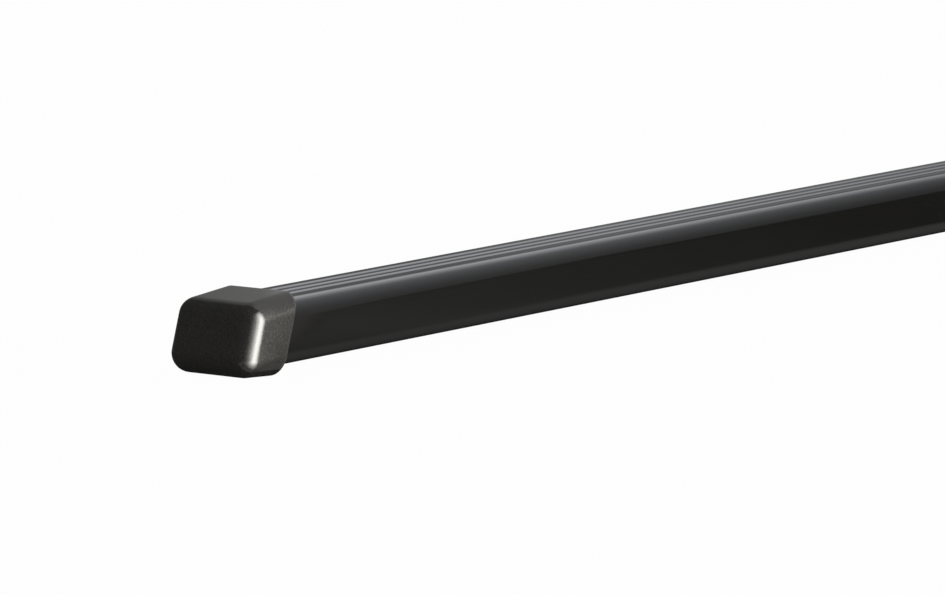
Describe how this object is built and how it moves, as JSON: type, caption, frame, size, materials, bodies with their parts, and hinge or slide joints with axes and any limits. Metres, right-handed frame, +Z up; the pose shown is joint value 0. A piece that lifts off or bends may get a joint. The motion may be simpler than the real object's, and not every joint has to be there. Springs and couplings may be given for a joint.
{
  "type": "roof rack crossbar",
  "caption": "Rectangular steel roof bar in a black plastic sheath with lengthwise grip grooves on top and raked push-in end caps, for carrying loads across a vehicle roof.",
  "frame": {"origin": "centre of the bar: mid length, on the axis of its section", "axes": "+X along the bar, +Y across it towards the side away from the viewer, +Z up through the grooved top"},
  "size_m": [1.2126, 0.037, 0.027],
  "materials": {
    "tube_steel": "zinc-coated steel, mill finish, seen only when a cap is off",
    "sheath_plastic": "smooth black extruded plastic with a soft gloss",
    "cap_plastic": "black moulded plastic with a fine spark-eroded grain"
  },
  "bodies": {
    "bar": {"steel_tube": "tube_steel", "grooved_sheath": "sheath_plastic"},
    "left_cap": {"left_end_cap": "cap_plastic"},
    "right_cap": {"right_end_cap": "cap_plastic"}
  },
  "joints": [
    {"name": "left_cap_pull", "type": "slide", "parent": "bar", "child": "left_cap", "axis": [-1, 0, 0], "range_m": [0, 0.025]},
    {"name": "right_cap_pull", "type": "slide", "parent": "bar", "child": "right_cap", "axis": [1, 0, 0], "range_m": [0, 0.025]}
  ]
}
